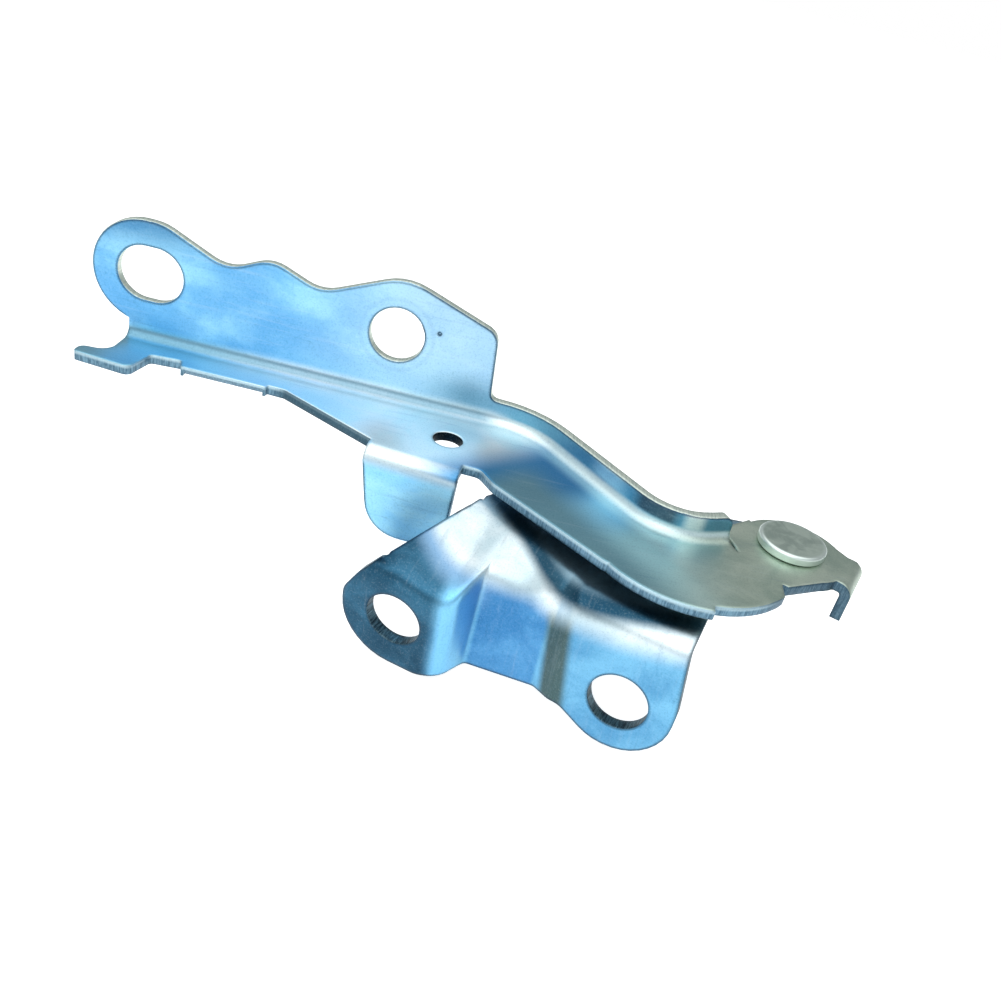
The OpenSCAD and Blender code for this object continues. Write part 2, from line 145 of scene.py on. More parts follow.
# Where a tint or mark begins and is full, or where it begins and ends and how softly. Millimetres in
# the arm's own directions from the pivot, except for the spans of noise.
ARM_ZONE = {
    "clouds": (0.56, 0.42),
    "slot_end_x": (-138, -152),
    "slot_end_z": (18, 30),
    "pale_x": (-125, -85),
    "corner_x": (-94, -76),
    "corner_z": (13, 5),
    "web_left_x": (-118, -150),
    "deep_run": (-58.5, -46.5),
    "light_run": (-37, -27),
    "cyan_run": (-24, -14),
    "outer_run": (-50, -40),
    "outer_across": (-34.5, -44),
    "beside_run": (-56, -46),
    "beside_across": (-33.5, -29.5),
    "flange_z": (0.8, 4.0),
    "fold_z": (0.3, 2.2, 0.5),
    "straight_x": (-66, -74),
    "tab_foot_z": (-18, -23),
    "tab_bend_z": (-5.2, -2.4),
    "tab_z": (-1.6, -2.8),
    "low_pale_x": (-45, -38.8, 2.2),
    "low_dark_x": (-35.8, -27, 1.6),
    "low_bright_x": (-25.2, -21.2, 1.2),
    "low_x": (-72, -64),
    "low_z": (1.4, 3.0),
    "curved_x": (-74, -60),
    "end_x": (-39, -11),
    "end_z": (1.6, 0.6),
    "pale_streak": (0.54, 0.74),
    "dark_streak": (0.45, 0.26),
    "coined_radius": (8.2, 9.1, 0.3),
    "upright_z": (0.2, 1.2),
    "slant_x": (-120, -84, 2),
    "gleam_z": (-1.0, -0.3),
    "gleam_x": (-2, -10),
    "hook_x": (-12, -2),
    "top_z": (2.8, 4.8),
    "trim_x": (-143.2, -123, 0.4),
    "trim_y": (17.0, 16.6),
    "trim_z": (-0.2, -0.6),
    "runout_x": (-21, -10, 0.2),
    "runout_y": (-12.5, -11.5),
    "runout_z": (-0.9, 4.4, 0.2),
    "locating_radius": (4.0, 3.7),
    "lined_flange_z": (4.0, 5.6),
    "lined_tab_z": (-3.0, -4.6),
}
PALE_PATCHES = (0.6, 1.0)
# How much of the painted edge highlight shows, and how much less on the slant.
GLEAM_SHARE = 0.8
GLEAM_LOST_ON_SLANT = 0.6

# The bracket.
BRACKET_PATCHES = (70.0, 5.0, 0.62, 0.5)
BRACKET_STREAKS = (1.0, 5.0, 0.65)
BRACKET_STREAK_STRETCH = (700, 90, 60)
BRACKET_STRIPES = (2400.0, 3.0, 0.7)
BRACKET_ROUGH = (0.42, 0.33)
# Strength of the painted shade line along the bracket's rims.
BRACKET_LINE = 0.6
BRACKET_MOTTLE = {
    "seat": ((0.35, 0.66), (94, 160, 202), (126, 192, 228)),
    # The recessed panel is painted darker than the seats: painted shade.
    "panel": ((0.35, 0.66), (68, 134, 188), (92, 158, 208)),
    # The left seat is painted dark: a painted reflection of shade.
    "left": ((0.35, 0.66), (40, 80, 104), (60, 110, 138)),
    # The bright tints are a painted highlight on the bend's slope.
    "bright": ((0.35, 0.66), (206, 226, 232), (238, 248, 250)),
    # The dark tints are painted shade on the web under the arm.
    "dark": ((0.35, 0.66), (34, 72, 94), (52, 90, 110)),
    "behind": ((0.35, 0.66), (118, 150, 166), (150, 180, 194)),
    "edge": ((0.32, 0.68), (36, 58, 70), (98, 128, 140)),
}
BRACKET_TINT = {
    # wall and olive are painted reflections on the steps' side walls, light and dark.
    "wall": (134, 204, 242),
    "olive": (76, 96, 92, 0.95),
    # The veil is a painted lighter reflection at the top of the left seat.
    "veil": (146, 186, 222, 0.85),
    "pale_streak": (220, 238, 246, 0.08),
    "dark_streak": (54, 92, 122, 0.2),
}
# As for the arm, in the bracket's directions. The foot and the veil are measured from the bend's foot,
# the crest and the web from its crest.
BRACKET_ZONE = {
    "panel_x": (-53.7, -38.5, 0.6),
    "left_x": (-58, -62),
    "wall_x": (-59.2, -54.6, 1.0),
    "olive_x": (-39.2, -33.2, 1.2),
    "veil_x": (-50, -58),
    "veil_above": (-10, -2),
    "foot": (-3.6, 3.0),
    "crest": (-2.4, 2.6),
    "web_beyond": (4.5, 9.5),
    "pale_streak": (0.54, 0.75),
    "dark_streak": (0.45, 0.25),
    "web_y": (-37, -35),
    "folded_x": (-61.5, -50.5, 0.2),
    "folded_z": (-21, -9, 0.2),
}
# Where the olive painted reflection sits and how it leans.
OLIVE_TOP = 14
OLIVE_LEAN = 0.15
# The bend's foot and crest as (x, y + z) in millimetres from the pivot.
BEND_SPAN = (-80, 0)
BEND_FOOT = (
    (-80, -34), (-72, -41), (-67, -46.5), (-62, -50.5), (-55, -52), (-48, -51.6), (-44, -51.2),
    (-40, -52.6), (-36, -53.6), (-27, -53.6), (-20, -52.8), (-11, -50.8), (0, -48),
)
BEND_CREST = (
    (-80, -14), (-62, -28.4), (-57, -32.1), (-51, -36.9), (-45.5, -42.6), (-40, -47.8), (-36, -50.1),
    (-32, -50.5), (-28, -49.8), (-20.5, -47.4), (-13, -44.3), (0, -39),
)

RIVET_PATCHES = (230.0, 4.0, 0.6, 0.4)
RIVET_TURNING = (1900.0, 2.0, 0.5)
RIVET_GRAIN = (3200.0, 2.0, 0.6)
RIVET_MOTTLE = ((0.36, 0.66), (170, 186, 176), (206, 220, 208))
RIVET_RING = (0.55, 0.72)
RIVET_RING_TINT = (226, 236, 228, 0.2)
# A painted highlight on the head's rounded rim.
RIVET_RIM = (6.3, 7.4)
RIVET_RIM_TINT = (226, 238, 232)
RIVET_ROUGH = (0.42, 0.32)
TURNING_HEIGHT = 0.5

BUSH_PORES = (2400.0, 3.0, 0.7)
BUSH_CLOUDS = (260.0, 3.0, 0.6)
BUSH_MOTTLE = ((0.35, 0.66), (116, 88, 52), (166, 132, 82))
PORE_SPAN = (0.42, 0.3)
PORE_TINT = (54, 42, 30, 0.7)
PORE_STRENGTH = 0.4
BUSH_ROUGH = (0.34, 0.5)

# The studio.
FLOOR_HALF = 6.0
FLOOR_GAP = 0.3 * MM
PAPER = (0.86, 0.86, 0.86, 1)
WHITE = (1, 1, 1, 1)
ROOM_TINT = (0.92, 0.97, 1, 1)
FLOOR_GLOW_SEEN = 0.74
FLOOR_GLOW_MIRRORED = 0.46
ROOM_TURN = (0.3, -0.5)
ROOM_LEVEL = (0.4, 0.74)
LAMP_AIM = Vector((-0.03, 0.03, 0.02))
# The camera that was fitted to the photograph, its turn in degrees.
CAMERA_PLACE = Vector((14.911, -157.109, 130.497)) * MM
CAMERA_TURN = (58.73190649, -12.02244592, 24.67493753)
CAMERA_LENS = 35.2219
CAMERA_SENSOR = 36


def srgb(r, g, b):
    """An 8-bit screen colour as the linear colour a socket takes."""
    def linear(v):
        v = v / 255
        return v / 12.92 if v <= 0.04045 else ((v + 0.055) / 1.055) ** 2.4
    return (linear(r), linear(g), linear(b), 1)


class Nodes:
    """A node tree that is written as nested calls: an input is a constant or another node's output."""

    def __init__(self, tree):
        self.tree = tree
        tree.nodes.clear()

    def add(self, kind, inputs=None, **settings):
        node = self.tree.nodes.new(kind)
        for key, value in settings.items():
            setattr(node, key, value)
        for key, value in (inputs or {}).items():
            self.feed(node, key, value)
        return node

    def feed(self, node, key, value):
        socket = node.inputs[key]
        if isinstance(value, bpy.types.NodeSocket):
            self.tree.links.new(value, socket)
        else:
            socket.default_value = value

    def math(self, operation, a, b):
        return self.add("ShaderNodeMath", {0: a, 1: b}, operation=operation).outputs[0]

    def times(self, a, b):
        return self.math("MULTIPLY", a, b)

    def without(self, mask, part):
        """The mask where part is 0."""
        return self.times(mask, self.math("SUBTRACT", 1.0, part))

    def vector(self, operation, a, b, out="Vector"):
        return self.add("ShaderNodeVectorMath", {0: a, 1: b}, operation=operation).outputs[out]

    def stretched(self, vector, scale):
        return self.vector("MULTIPLY", vector, scale)

    def along(self, vector, direction):
        return self.vector("DOT_PRODUCT", vector, direction, out="Value")

    def far(self, a, b):
        return self.vector("DISTANCE", a, b, out="Value")

    def more(self, a, b):
        """True where a is greater than b."""
        return self.add("FunctionNodeCompare", {"A": a, "B": b},
                        data_type="FLOAT", operation="GREATER_THAN").outputs["Result"]

    def step(self, value, low, high):
        """0 at low, 1 at high and beyond, and a smooth change between them."""
        return self.add("ShaderNodeMapRange", {"Value": value, 1: low, 2: high},
                        interpolation_type="SMOOTHSTEP").outputs[0]

    def between(self, value, low, high, soft):
        rise = self.step(value, low - soft, low + soft)
        fall = self.step(value, high + soft, high - soft)
        return self.times(rise, fall)

    def scaled(self, value, low, high):
        return self.add("ShaderNodeMapRange", {"Value": value, 3: low, 4: high}).outputs[0]

    def curve(self, value, span, points):
        """A smooth curve through points, given as (place, height); both lie within span."""
        low, high = span
        size = high - low
        place = self.math("DIVIDE", self.math("SUBTRACT", value, low), size)
        node = self.add("ShaderNodeFloatCurve", {"Value": place})
        line = node.mapping.curves[0]
        for _ in points[2:]:
            line.points.new(0.5, 0.5)
        for knot, (at, height) in zip(line.points, points):
            knot.location = ((at - low) / size, (height - low) / size)
        node.mapping.update()
        return self.math("ADD", self.times(node.outputs[0], size), low)

    def noise(self, vector, scale, detail, rough, warp=0.0):
        return self.add("ShaderNodeTexNoise", {
            "Vector": vector, "Scale": scale, "Detail": detail, "Roughness": rough, "Distortion": warp,
        }).outputs["Fac"]

    def blend(self, fac, a, b, kind="MIX"):
        node = self.add("ShaderNodeMix", data_type="RGBA", blend_type=kind)
        for index, value in ((0, fac), (6, a), (7, b)):
            self.feed(node, index, value)
        return node.outputs[2]

    def coat(self, mask, under, tint):
        """A tint over another colour where mask is 1; a fourth number is the share that covers it."""
        share = self.times(mask, tint[3]) if len(tint) > 3 else mask
        return self.blend(share, under, srgb(*tint[:3]))

    def mottle(self, noise, span, low, high):
        """Two tints, parted by noise."""
        return self.blend(self.step(noise, *span), srgb(*low), srgb(*high))

    def metal(self, colour, roughness, normal):
        shader = self.add("ShaderNodeBsdfPrincipled", {
            "Base Color": colour, "Metallic": 1.0, "Roughness": roughness, "Normal": normal,
        })
        self.add("ShaderNodeOutputMaterial", {"Surface": shader.outputs[0]})


def new_material(name):
    material = bpy.data.materials.new(name)
    material.use_nodes = True
    return material, Nodes(material.node_tree)


def hinge_space(n, turn):
    """Coordinates that ride with a piece: turned like the arm or the bracket, from the pivot, in metres."""
    turned = Matrix.Rotation(-turn, 3, "Z") @ PIVOT
    where = n.add("ShaderNodeTexCoord").outputs["Object"]
    return n.add("ShaderNodeMapping", {
        "Vector": where, "Location": -turned, "Rotation": (0, 0, -turn),
    }).outputs["Vector"]


def millimetres(n, where):
    """The coordinates in millimetres, as one vector and as its three parts."""
    spot = n.stretched(where, (1 / MM, 1 / MM, 1 / MM))
    x, y, z = n.add("ShaderNodeSeparateXYZ", {0: spot}).outputs
    return spot, x, y, z


def axis_distance(n, spot, centre, keep):
    """Distance from an axis through centre; keep has a 0 along the axis."""
    off = n.vector("SUBTRACT", spot, centre)
    return n.vector("LENGTH", n.stretched(off, keep), (0, 0, 0), out="Value")


def cut_marks(n):
    return n.add("ShaderNodeAttribute", attribute_name="cut").outputs["Fac"]


def sheared(n, where, upright):
    """Coordinates for stripes through the sheet on a sheared edge: along y where upright is 1, else z."""
    lying = n.stretched(where, (1, 1, STRIPE_STRETCH))
    standing = n.stretched(where, (1, STRIPE_STRETCH, 1))
    return n.blend(upright, lying, standing)


def finish_zinc(n, where, colour, rough, streaks, cut, cut_colour, stripes, lined):
    """The plated sheet's shader, with sheared edges where cut is 1 and a painted shade line along the rims
    where lined is 1.
    """
    grain = n.noise(where, *GRAIN)
    rim = n.add("ShaderNodeBevel", {"Radius": LINE_RADIUS}, samples=LINE_SAMPLES).outputs[0]
    plain = n.add("ShaderNodeNewGeometry").outputs["Normal"]
    # Painted shade along the rims, where the rounded normal turns away from the flat one.
    line = n.times(n.step(n.along(rim, plain), *LINE_TURN), lined)
    base = n.coat(line, colour, LINE_TINT)
    base = n.blend(cut, base, cut_colour)
    dark = n.times(n.step(grain, *DARK_GRAIN), DARK_GRAIN_SHARE)
    base = n.blend(dark, base, DARK_GRAIN_TINT, "MULTIPLY")
    base = n.coat(n.step(grain, *PALE_GRAIN), base, PALE_GRAIN_TINT)
    plating = n.math("ADD", n.times(streaks, STREAK_HEIGHT), n.times(grain, GRAIN_HEIGHT))
    height = n.math("ADD", plating, n.times(n.times(stripes, cut), STRIPE_HEIGHT))
    bump = n.add("ShaderNodeBump", {
        "Height": height, "Strength": BUMP_STRENGTH, "Distance": BUMP_DEPTH, "Normal": rim,
    })
    n.metal(base, n.math("ADD", rough, n.times(cut, CUT_ROUGHER)), bump.outputs["Normal"])


def arm_plating(n, spot, x, z, patches, clouds):
    """The arm's tints, from the flange over the web to the end with the rivet, among them painted
    reflections, highlights and shade.
    """
    zone = ARM_ZONE
    tint = ARM_TINT
    flange = n.mottle(patches, *ARM_MOTTLE["flange"])
    flange = n.coat(n.step(clouds, *zone["clouds"]), flange, tint["clouds"])
    slot_end = n.times(n.step(x, *zone["slot_end_x"]), n.step(z, *zone["slot_end_z"]))
    flange = n.coat(slot_end, flange, tint["slot_end"])
    pale = n.times(n.step(x, *zone["pale_x"]), n.scaled(patches, *PALE_PATCHES))
    flange = n.coat(pale, flange, tint["pale"])
    corner = n.times(n.step(x, *zone["corner_x"]), n.step(z, *zone["corner_z"]))
    flange = n.coat(corner, flange, tint["corner"])

    run = n.along(spot, S_RUN)
    across = n.along(spot, S_ACROSS)
    # The web's near-white tints are a painted reflection of bright light from above.
    web = n.mottle(patches, *ARM_MOTTLE["web"])
    web = n.coat(n.step(x, *zone["web_left_x"]), web, tint["web_left"])
    # Painted reflections in bands across the web's S.
    for band in ("deep", "light", "cyan"):
        web = n.coat(n.step(run, *zone[band + "_run"]), web, tint[band])
    for side in ("outer", "beside"):
        mask = n.times(n.step(run, *zone[side + "_run"]), n.step(across, *zone[side + "_across"]))
        web = n.coat(mask, web, tint[side])
    sheet = n.blend(n.step(z, *zone["flange_z"]), web, flange)
    fold = n.between(z, *zone["fold_z"])
    # Painted shade in the straight part of the fold.
    sheet = n.coat(n.times(fold, n.step(x, *zone["straight_x"])), sheet, tint["straight_fold"])

    tab = n.mottle(patches, *ARM_MOTTLE["tab"])
    # Painted shade at the tab's foot and a painted highlight on its bend.
    tab = n.coat(n.step(z, *zone["tab_foot_z"]), tab, tint["tab_foot"])
    tab = n.coat(n.step(z, *zone["tab_bend_z"]), tab, tint["tab_bend"])
    sheet = n.blend(n.step(z, *zone["tab_z"]), sheet, tab)

    # Painted reflections in bands along the low flange of the S.
    low = srgb(*tint["low"])
    for band in ("low_pale", "low_dark", "low_bright"):
        low = n.coat(n.between(x, *zone[band + "_x"]), low, tint[band])
    sheet = n.blend(n.times(n.step(x, *zone["low_x"]), n.step(z, *zone["low_z"])), sheet, low)
    # A painted highlight in the curved part of the fold.
    sheet = n.coat(n.times(fold, n.step(x, *zone["curved_x"])), sheet, tint["curved_fold"])
    end = n.mottle(patches, *ARM_MOTTLE["end"])
    return n.blend(n.times(n.step(x, *zone["end_x"]), n.step(z, *zone["end_z"])), sheet, end)


def arm_edge(n, spot, x, z, stripes):
    """The tints of the arm's sheared edges, with painted highlights on the top edges and by the end, and
    painted shade in the locating hole.
    """
    zone = ARM_ZONE
    tint = ARM_TINT
    edge = n.mottle(stripes, *ARM_MOTTLE["edge"])
    slant = n.between(x, *zone["slant_x"])
    edge = n.coat(slant, edge, tint["slant"])
    # A painted highlight along the upper rim of the edges by the end.
    gleam = n.times(n.step(z, *zone["gleam_z"]), n.step(x, *zone["gleam_x"]))
    kept = n.math("SUBTRACT", GLEAM_SHARE, n.times(slant, GLEAM_LOST_ON_SLANT))
    edge = n.coat(n.times(gleam, kept), edge, tint["gleam"])
    edge = n.coat(n.step(x, *zone["hook_x"]), edge, tint["hook"])
    # A painted highlight on the top edges, where they face up.
    top_edge = n.mottle(stripes, *ARM_MOTTLE["top_edge"])
    edge = n.blend(n.step(z, *zone["top_z"]), edge, top_edge)
    # Painted shade inside the locating hole.
    hole = axis_distance(n, spot, LOCATING_HOLE, (1, 1, 0))
    return n.coat(n.step(hole, *zone["locating_radius"]), edge, tint["locating"])


def arm_zinc():
    material, n = new_material("zinc_arm_plating")
    zone = ARM_ZONE
    where = hinge_space(n, REST_TURN)
    spot, x, y, z = millimetres(n, where)
    patches = n.noise(n.stretched(where, ARM_PATCH_STRETCH), *ARM_PATCHES)
    clouds = n.noise(where, *ARM_CLOUDS)
    streaks = n.noise(n.stretched(where, ARM_STREAK_STRETCH), *ARM_STREAKS)
    sheet = arm_plating(n, spot, x, z, patches, clouds)
    for kind in ("pale_streak", "dark_streak"):
        sheet = n.coat(n.step(streaks, *zone[kind]), sheet, ARM_TINT[kind])
    ring = axis_distance(n, spot, BOLT_HOLE, (1, 0, 1))
    sheet = n.coat(n.between(ring, *zone["coined_radius"]), sheet, ARM_TINT["coined"])

    stripes = n.noise(sheared(n, where, n.step(z, *zone["upright_z"])), *ARM_STRIPES)
    edge = arm_edge(n, spot, x, z, stripes)
    rough = n.math("ADD", n.scaled(patches, *ARM_ROUGH), n.scaled(streaks, *STREAK_ROUGH))
    trim = n.times(n.between(x, *zone["trim_x"]), n.step(z, *zone["trim_z"]))
    trim = n.times(trim, n.step(y, *zone["trim_y"]))
    runout = n.times(n.between(x, *zone["runout_x"]), n.between(z, *zone["runout_z"]))
    runout = n.times(runout, n.step(y, *zone["runout_y"]))
    cut = n.without(n.math("MAXIMUM", cut_marks(n), trim), runout)
    # The painted shade line runs on the flange's upper part and on the tab's lower part.
    lined = n.math("MAXIMUM", n.step(z, *zone["lined_flange_z"]), n.step(z, *zone["lined_tab_z"]))
    finish_zinc(n, where, sheet, rough, streaks, cut, edge, stripes, n.times(lined, ARM_LINE))
    return material


def bracket_plating(n, x, y, z, patches):
    """The bracket's tints: the stepped seats with painted reflections and shade, the painted highlight on
    the bend's slope and the web behind it, with painted shade under the arm.
    """
    zone = BRACKET_ZONE
    tint = BRACKET_TINT
    mottled = {name: n.mottle(patches, *BRACKET_MOTTLE[name])
               for name in ("seat", "panel", "left", "bright", "dark", "behind")}
    # Painted shade on the recessed panel.
    seat = n.blend(n.between(x, *zone["panel_x"]), mottled["seat"], mottled["panel"])
    # The left seat's dark tints are a painted reflection of shade.
    seat = n.blend(n.step(x, *zone["left_x"]), seat, mottled["left"])
    # A light painted reflection on the left step's wall.
    seat = n.coat(n.between(x, *zone["wall_x"]), seat, tint["wall"])
    # A dark painted reflection on the right step's wall.
    leaning = n.math("ADD", x, n.times(n.math("ADD", z, OLIVE_TOP), OLIVE_LEAN))
    seat = n.coat(n.between(leaning, *zone["olive_x"]), seat, tint["olive"])

    bend = n.math("ADD", y, z)
    above = n.math("SUBTRACT", bend, n.curve(x, BEND_SPAN, BEND_FOOT))
    beyond = n.math("SUBTRACT", bend, n.curve(x, BEND_SPAN, BEND_CREST))
    # Painted shade on the web under the arm, by the crest.
    web = n.blend(n.step(beyond, *zone["web_beyond"]), mottled["dark"], mottled["behind"])
    # A painted highlight on the bend's slope.
    slope = n.blend(n.step(beyond, *zone["crest"]), mottled["bright"], web)
    # The veil is a painted lighter reflection at the top of the left seat.
    veil = n.times(n.step(x, *zone["veil_x"]), n.step(above, *zone["veil_above"]))
    seat = n.coat(veil, seat, tint["veil"])
    return n.blend(n.step(above, *zone["foot"]), seat, slope)


def bracket_zinc():
    material, n = new_material("zinc_bracket_plating")
    zone = BRACKET_ZONE
    where = hinge_space(n, 0.0)
    _, x, y, z = millimetres(n, where)
    patches = n.noise(where, *BRACKET_PATCHES)
    streaks = n.noise(n.stretched(where, BRACKET_STREAK_STRETCH), *BRACKET_STREAKS)
    sheet = bracket_plating(n, x, y, z, patches)
    for kind in ("pale_streak", "dark_streak"):
        sheet = n.coat(n.step(streaks, *zone[kind]), sheet, BRACKET_TINT[kind])

    upright = n.math("SUBTRACT", 1.0, n.step(y, *zone["web_y"]))
    stripes = n.noise(sheared(n, where, upright), *BRACKET_STRIPES)
    edge = n.mottle(stripes, *BRACKET_MOTTLE["edge"])
    rough = n.math("ADD", n.scaled(patches, *BRACKET_ROUGH), n.scaled(streaks, *STREAK_ROUGH))
    folded = n.times(n.between(x, *zone["folded_x"]), n.between(z, *zone["folded_z"]))
    cut = n.without(cut_marks(n), folded)
    finish_zinc(n, where, sheet, rough, streaks, cut, edge, stripes, BRACKET_LINE)
    return material


def rivet_zinc():
    material, n = new_material("zinc_rivet_plating")
    where = hinge_space(n, 0.0)
    radius = axis_distance(n, where, (0, 0, 0), (1, 1, 0))
    patches = n.noise(where, *RIVET_PATCHES)
    turned = n.noise(n.add("ShaderNodeCombineXYZ", {0: radius}).outputs[0], *RIVET_TURNING)
    grain = n.noise(where, *RIVET_GRAIN)
    face = n.mottle(patches, *RIVET_MOTTLE)
    face = n.coat(n.step(turned, *RIVET_RING), face, RIVET_RING_TINT)
    # A painted highlight on the head's rounded rim.
    face = n.coat(n.step(n.math("DIVIDE", radius, MM), *RIVET_RIM), face, RIVET_RIM_TINT)
    height = n.math("ADD", n.times(turned, TURNING_HEIGHT), n.times(grain, GRAIN_HEIGHT))
    bump = n.add("ShaderNodeBump", {"Height": height, "Strength": BUMP_STRENGTH, "Distance": BUMP_DEPTH})
    n.metal(face, n.scaled(patches, *RIVET_ROUGH), bump.outputs["Normal"])
    return material


def bush_bronze():
    material, n = new_material("sintered_bronze")
    where = hinge_space(n, REST_TURN)
    pores = n.noise(where, *BUSH_PORES)
    clouds = n.noise(where, *BUSH_CLOUDS)
    face = n.mottle(clouds, *BUSH_MOTTLE)
    face = n.coat(n.step(pores, *PORE_SPAN), face, PORE_TINT)
    bump = n.add("ShaderNodeBump", {"Height": pores, "Strength": PORE_STRENGTH, "Distance": BUMP_DEPTH})
    n.metal(face, n.scaled(clouds, *BUSH_ROUGH), bump.outputs["Normal"])
    return material


def new_group(name):
    group = bpy.data.node_groups.new(name, "GeometryNodeTree")
    group.interface.new_socket("Geometry", in_out="INPUT", socket_type="NodeSocketGeometry")
    group.interface.new_socket("Geometry", in_out="OUTPUT", socket_type="NodeSocketGeometry")
    n = Nodes(group)
    return group, n, n.add("NodeGroupInput").outputs["Geometry"]


def store(n, shape, name, value, kind, domain):
    return n.add("GeometryNodeStoreNamedAttribute", {"Geometry": shape, "Name": name, "Value": value},
                 data_type=kind, domain=domain).outputs[0]


def edge_marks(sheet):
    """An attribute that marks the sheared edges: faces where the metal behind is thicker than the sheet."""
    group, n, shape = new_group("edge_marks")
    place = n.add("GeometryNodeInputPosition").outputs[0]
    inward = n.stretched(n.add("GeometryNodeInputNormal").outputs[0], (-1, -1, -1))
    start = n.vector("ADD", place, n.stretched(inward, (RAY_LIFT, RAY_LIFT, RAY_LIFT)))
    ray = n.add("GeometryNodeRaycast", {
        "Target Geometry": shape, "Source Position": start, "Ray Direction": inward,
        "Ray Length": RAY_REACH,
    })
    thick = n.more(ray.outputs["Hit Distance"], THICK_METAL * sheet)
    n.add("NodeGroupOutput", {"Geometry": store(n, shape, "cut", thick, "FLOAT", "FACE")})
    return group


def soft_bends(limit):
    """Smooth shading over the bends, sharp at edges that turn more than limit."""
    group, n, shape = new_group("soft_bends")
    angle = n.add("GeometryNodeInputMeshEdgeAngle").outputs["Unsigned Angle"]
    smooth = n.add("GeometryNodeSetMeshNormal", {
        "Mesh": shape, "Remove Custom": True, "Edge Sharpness": n.more(angle, limit),
        "Face Sharpness": False,
    }, mode="SHARPNESS").outputs[0]
    n.add("NodeGroupOutput", {"Geometry": smooth})
    return group


def rim_room(room):
    """A bevel weight on the sheared rims, less where the outline's own edges are shorter than room."""
    group, n, shape = new_group("rim_room")
    ends = n.add("GeometryNodeInputMeshEdgeVertices").outputs
    length = n.far(ends["Position 1"], ends["Position 2"])
    crowd = n.math("POWER", n.math("DIVIDE", room, length), CROWD_POWER)
    for domain in ("EDGE", "POINT"):
        crowd = n.add("GeometryNodeFieldOnDomain", {0: crowd}, domain=domain, data_type="FLOAT").outputs[0]
    spread = n.add("GeometryNodeBlurAttribute", {"Value": crowd, "Iterations": CROWD_BLUR},
                   data_type="FLOAT").outputs[0]
    share = n.math("MINIMUM", n.math("POWER", spread, -1 / CROWD_POWER), 1.0)
    place = n.add("GeometryNodeInputPosition").outputs[0]
    for centre, clear in RIM_CLEAR:
        share = n.times(share, n.step(n.far(place, centre), 0.5 * clear, clear))
    angle = n.add("GeometryNodeInputMeshEdgeAngle").outputs["Unsigned Angle"]
    weight = n.times(share, n.more(angle, RIM_EDGE))
    weighed = store(n, shape, "bevel_weight_edge", weight, "FLOAT", "EDGE")
    kept = store(n, weighed, "corner", place, "FLOAT_VECTOR", "POINT")
    n.add("NodeGroupOutput", {"Geometry": kept})
    return group


def rim_mend(reach):
    """Puts a point that a crowded corner threw further than reach back on its corner."""
    group, n, shape = new_group("rim_mend")
    place = n.add("GeometryNodeInputPosition").outputs[0]
    named = n.add("GeometryNodeInputNamedAttribute", {"Name": "corner"}, data_type="FLOAT_VECTOR")
    corner = named.outputs["Attribute"]
    mended = n.add("GeometryNodeSetPosition", {
        "Geometry": shape, "Selection": n.more(n.far(place, corner), reach), "Position": corner,
    })
    n.add("NodeGroupOutput", {"Geometry": mended.outputs[0]})
    return group


def add_group(piece, name, group):
    piece.modifiers.new(name, "NODES").node_group = group


def dress(name, material, sheet=0.0, rim=0.0, sharp=SHARP_EDGE):
    """The CAD piece with its material: marked edges, joined flat faces, rounded rims and soft bends."""
    piece = nodes[name]
    if sheet:
        add_group(piece, "edge_marks", edge_marks(sheet))
    weld = piece.modifiers.new("weld", "WELD")
    weld.merge_threshold = WELD_GAP
    flat = piece.modifiers.new("flat", "DECIMATE")
    flat.decimate_type = "DISSOLVE"
    flat.angle_limit = FLAT_ANGLE
    if rim:
        add_group(piece, "rim_room", rim_room(RIM_ROOM * rim))
        rounding = piece.modifiers.new("rounding", "BEVEL")
        rounding.width = rim
        rounding.segments = RIM_SEGMENTS
        rounding.limit_method = "WEIGHT"
        rounding.use_clamp_overlap = False
        add_group(piece, "rim_mend", rim_mend(RIM_REACH * rim))
    add_group(piece, "soft_bends", soft_bends(sharp))
    weighted = piece.modifiers.new("flat_faces", "WEIGHTED_NORMAL")
    weighted.keep_sharp = True
    piece.data.materials.clear()
    piece.data.materials.append(material)


def floor_material():
    """Paper that is white to the camera, but for the deepest shadow, and pale in the metal."""
    material, n = new_material("floor_paper")
    path = n.add("ShaderNodeLightPath").outputs
    mirrored = n.math("MAXIMUM", path["Is Glossy Ray"], path["Is Transmission Ray"])
    seen = n.times(path["Is Camera Ray"], FLOOR_GLOW_SEEN)
    level = n.math("ADD", seen, n.times(mirrored, FLOOR_GLOW_MIRRORED))
    paper = n.add("ShaderNodeBsdfDiffuse", {"Color": PAPER})
    glow = n.add("ShaderNodeEmission", {"Color": WHITE, "Strength": level})
    both = n.add("ShaderNodeAddShader", {0: paper.outputs[0], 1: glow.outputs[0]})
    n.add("ShaderNodeOutputMaterial", {"Surface": both.outputs[0]})
    return material


def make_floor():
    low = cad_box[0].z - FLOOR_GAP
    turns = ((-1, -1), (1, -1), (1, 1), (-1, 1))
    corners = [(FLOOR_HALF * x, FLOOR_HALF * y, low) for x, y in turns]
    mesh = bpy.data.meshes.new("floor")
    mesh.from_pydata(corners, [], [(0, 1, 2, 3)])
    floor = bpy.data.objects.new("floor", mesh)
    bpy.context.scene.collection.objects.link(floor)
    mesh.materials.append(floor_material())


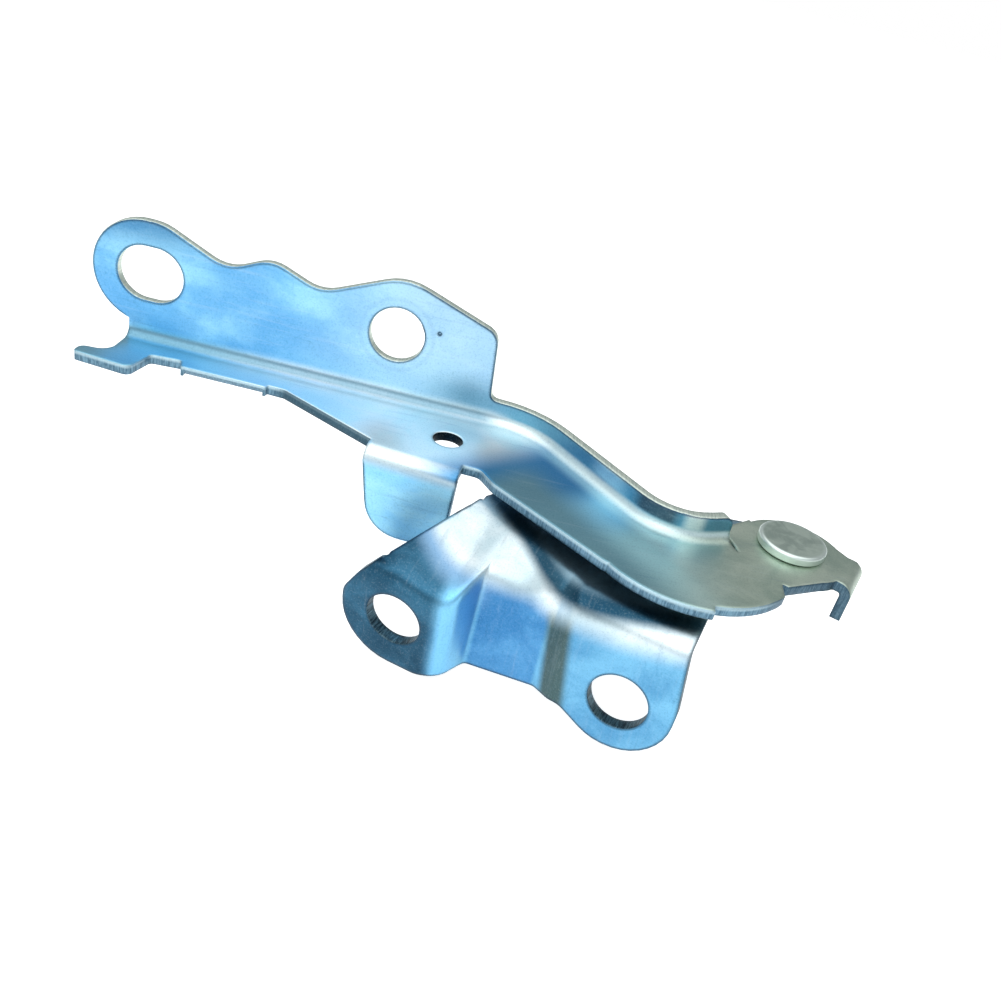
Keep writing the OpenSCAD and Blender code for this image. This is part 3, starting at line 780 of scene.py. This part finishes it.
def make_world():
    """A soft room, darker behind the hinge, which the metal mirrors. Only the camera sees white."""
    world = bpy.data.worlds.new("studio")
    world.use_nodes = True
    bpy.context.scene.world = world
    n = Nodes(world.node_tree)
    path = n.add("ShaderNodeLightPath").outputs
    ray = n.add("ShaderNodeTexCoord").outputs["Generated"]
    back = n.add("ShaderNodeSeparateXYZ", {0: ray}).outputs["Y"]
    level = n.scaled(n.step(back, *ROOM_TURN), *ROOM_LEVEL)
    soft = n.add("ShaderNodeBackground", {"Color": ROOM_TINT, "Strength": level}).outputs[0]
    white = n.add("ShaderNodeBackground", {"Color": WHITE, "Strength": 1.0}).outputs[0]
    both = n.add("ShaderNodeMixShader", {0: path["Is Camera Ray"], 1: soft, 2: white})
    n.add("ShaderNodeOutputWorld", {"Surface": both.outputs[0]})


def softbox(name, toward, distance, width, height, radiance):
    """An area lamp that faces the middle of the hinge. Its power follows from its size and brightness."""
    lamp = bpy.data.lights.new(name, "AREA")
    lamp.shape = "RECTANGLE"
    lamp.size = width
    lamp.size_y = height
    lamp.energy = radiance * math.pi * width * height
    box = bpy.data.objects.new(name, lamp)
    direction = Vector(toward).normalized()
    box.location = LAMP_AIM + direction * distance
    box.rotation_euler = direction.to_track_quat("Z", "Y").to_euler()
    bpy.context.scene.collection.objects.link(box)


def make_camera():
    data = bpy.data.cameras.new("camera")
    data.sensor_width = CAMERA_SENSOR
    data.sensor_fit = "HORIZONTAL"
    data.lens = CAMERA_LENS
    data.clip_start = 0.005
    data.clip_end = 50
    camera = bpy.data.objects.new("camera", data)
    camera.location = CAMERA_PLACE
    camera.rotation_euler = Euler([math.radians(a) for a in CAMERA_TURN])
    bpy.context.scene.collection.objects.link(camera)
    bpy.context.scene.camera = camera


dress("bonnet_arm", arm_zinc(), sheet=ARM_SHEET, rim=ARM_RIM)
dress("body_bracket", bracket_zinc(), sheet=BRACKET_SHEET, sharp=BRACKET_SHARP_EDGE)
dress("pivot_rivet", rivet_zinc())
dress("pivot_bush", bush_bronze())
make_floor()
make_world()
softbox("overhead", toward=(-0.05, -0.1, 1.0), distance=0.5, width=0.85, height=0.85, radiance=0.96)
softbox("front", toward=(-0.12, -0.82, 0.55), distance=0.6, width=0.6, height=0.26, radiance=1.1)
make_camera()
bpy.context.scene.view_settings.view_transform = "Standard"
